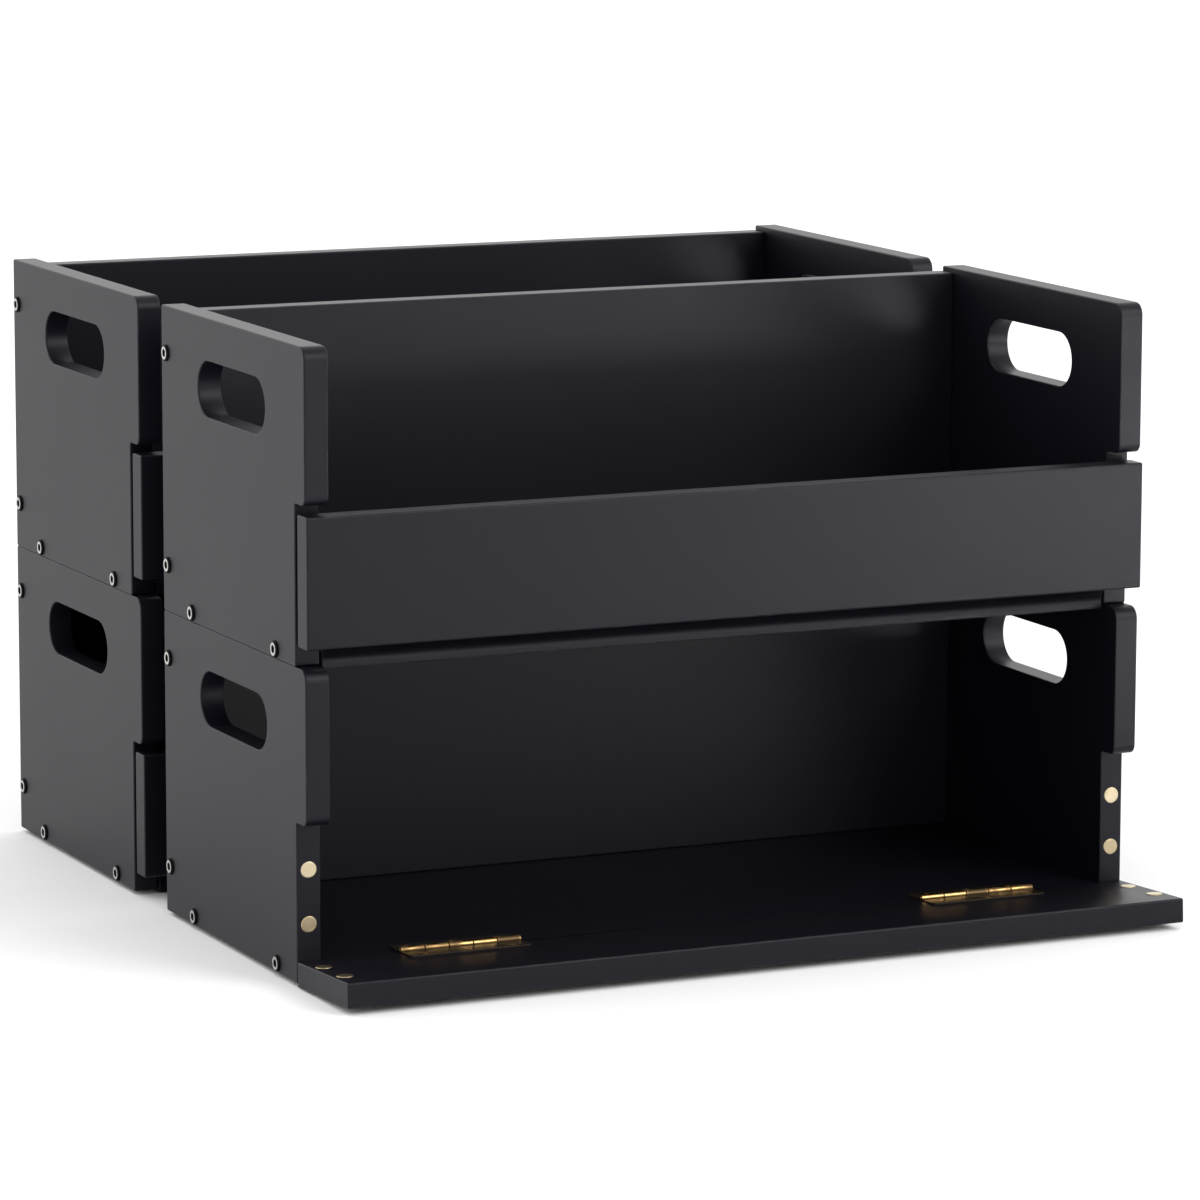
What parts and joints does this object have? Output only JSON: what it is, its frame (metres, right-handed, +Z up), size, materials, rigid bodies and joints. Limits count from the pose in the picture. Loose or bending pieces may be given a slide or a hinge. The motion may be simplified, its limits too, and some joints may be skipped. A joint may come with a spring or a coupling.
{
  "type": "stacking storage box unit",
  "caption": "Stack of low lacquered storage boxes in two columns, each with slotted side handles and a drop-down front flap on butt hinges with magnet catches.",
  "frame": {"origin": "centre of the front lower box's footprint, on the floor", "axes": "+Z up, +X to the right, the flaps face -Y"},
  "size_m": [0.4424, 0.4531, 0.302],
  "materials": {
    "black_lacquer": "satin black lacquer on board, eased edges",
    "screw_steel": "black-oxide steel, bright where turned",
    "magnet_plating": "pale champagne plating, satin",
    "hinge_brass": "antique brass, rubbed bright on the barrel"
  },
  "bodies": {
    "front_lower_box": {"front_lower_left_side": "black_lacquer", "front_lower_right_side": "black_lacquer", "front_lower_back_panel": "black_lacquer", "front_lower_bottom_panel": "black_lacquer", "front_lower_assembly_screws": "screw_steel", "front_lower_side_magnets": "magnet_plating", "front_lower_hinge_base_leaves": "hinge_brass", "front_lower_hinge_pins": "hinge_brass", "front_lower_base_leaf_screws": "hinge_brass"},
    "front_lower_flap_assembly": {"front_lower_flap": "black_lacquer", "front_lower_flap_magnets": "magnet_plating", "front_lower_hinge_flap_leaves": "hinge_brass", "front_lower_flap_leaf_screws": "hinge_brass"},
    "front_upper_box": {"front_upper_left_side": "black_lacquer", "front_upper_right_side": "black_lacquer", "front_upper_back_panel": "black_lacquer", "front_upper_bottom_panel": "black_lacquer", "front_upper_assembly_screws": "screw_steel", "front_upper_side_magnets": "magnet_plating", "front_upper_hinge_base_leaves": "hinge_brass", "front_upper_hinge_pins": "hinge_brass", "front_upper_base_leaf_screws": "hinge_brass"},
    "front_upper_flap_assembly": {"front_upper_flap": "black_lacquer", "front_upper_flap_magnets": "magnet_plating", "front_upper_hinge_flap_leaves": "hinge_brass", "front_upper_flap_leaf_screws": "hinge_brass"},
    "rear_lower_box": {"rear_lower_left_side": "black_lacquer", "rear_lower_right_side": "black_lacquer", "rear_lower_back_panel": "black_lacquer", "rear_lower_bottom_panel": "black_lacquer", "rear_lower_assembly_screws": "screw_steel", "rear_lower_side_magnets": "magnet_plating", "rear_lower_hinge_base_leaves": "hinge_brass", "rear_lower_hinge_pins": "hinge_brass", "rear_lower_base_leaf_screws": "hinge_brass"},
    "rear_lower_flap_assembly": {"rear_lower_flap": "black_lacquer", "rear_lower_flap_magnets": "magnet_plating", "rear_lower_hinge_flap_leaves": "hinge_brass", "rear_lower_flap_leaf_screws": "hinge_brass"},
    "rear_upper_box": {"rear_upper_left_side": "black_lacquer", "rear_upper_right_side": "black_lacquer", "rear_upper_back_panel": "black_lacquer", "rear_upper_bottom_panel": "black_lacquer", "rear_upper_assembly_screws": "screw_steel", "rear_upper_side_magnets": "magnet_plating", "rear_upper_hinge_base_leaves": "hinge_brass", "rear_upper_hinge_pins": "hinge_brass", "rear_upper_base_leaf_screws": "hinge_brass"},
    "rear_upper_flap_assembly": {"rear_upper_flap": "black_lacquer", "rear_upper_flap_magnets": "magnet_plating", "rear_upper_hinge_flap_leaves": "hinge_brass", "rear_upper_flap_leaf_screws": "hinge_brass"}
  },
  "joints": [
    {"name": "front_upper_lift", "type": "slide", "parent": "front_lower_box", "child": "front_upper_box", "axis": [0, 0, 1], "range_m": [0, 0.2]},
    {"name": "rear_column_slide", "type": "slide", "parent": "front_lower_box", "child": "rear_lower_box", "axis": [0, 1, 0], "range_m": [0, 0.2]},
    {"name": "rear_upper_lift", "type": "slide", "parent": "rear_lower_box", "child": "rear_upper_box", "axis": [0, 0, 1], "range_m": [0, 0.2]},
    {"name": "front_lower_flap_hinge", "type": "hinge", "parent": "front_lower_box", "child": "front_lower_flap_assembly", "pos_m": [0, -0.0818, 0.0136], "axis": [1, 0, 0], "range_deg": [-87, 0]},
    {"name": "front_upper_flap_hinge", "type": "hinge", "parent": "front_upper_box", "child": "front_upper_flap_assembly", "pos_m": [0, -0.0818, 0.1636], "axis": [1, 0, 0], "range_deg": [0, 50]},
    {"name": "rear_lower_flap_hinge", "type": "hinge", "parent": "rear_lower_box", "child": "rear_lower_flap_assembly", "pos_m": [0, 0.1362, 0.0136], "axis": [1, 0, 0], "range_deg": [0, 30]},
    {"name": "rear_upper_flap_hinge", "type": "hinge", "parent": "rear_upper_box", "child": "rear_upper_flap_assembly", "pos_m": [0, 0.1362, 0.1636], "axis": [1, 0, 0], "range_deg": [0, 30]}
  ]
}
